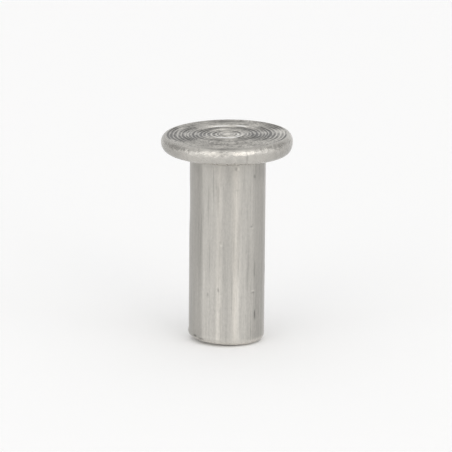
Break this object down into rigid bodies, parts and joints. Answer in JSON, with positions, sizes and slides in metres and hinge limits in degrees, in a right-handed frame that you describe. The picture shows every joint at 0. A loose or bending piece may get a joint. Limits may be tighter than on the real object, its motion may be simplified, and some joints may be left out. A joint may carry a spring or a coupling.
{
  "type": "brake lining rivet",
  "caption": "Solid aluminium rivet with a flat, ring-marked head and a plain round shank, for fixing a friction lining to its shoe.",
  "frame": {"origin": "on the common axis of head and shank, in the plane of the head's bearing face", "axes": "+Z along that axis and out of the head's top, with the shank along -Z; +X towards the lower side of the slightly slanted foot"},
  "size_m": [0.007, 0.007, 0.0113],
  "materials": {
    "rivet_aluminium": "cold headed: satin drawn shank, spread edge, fine turned rings on the head"
  },
  "bodies": {
    "root": {"rivet": "rivet_aluminium"}
  },
  "joints": []
}
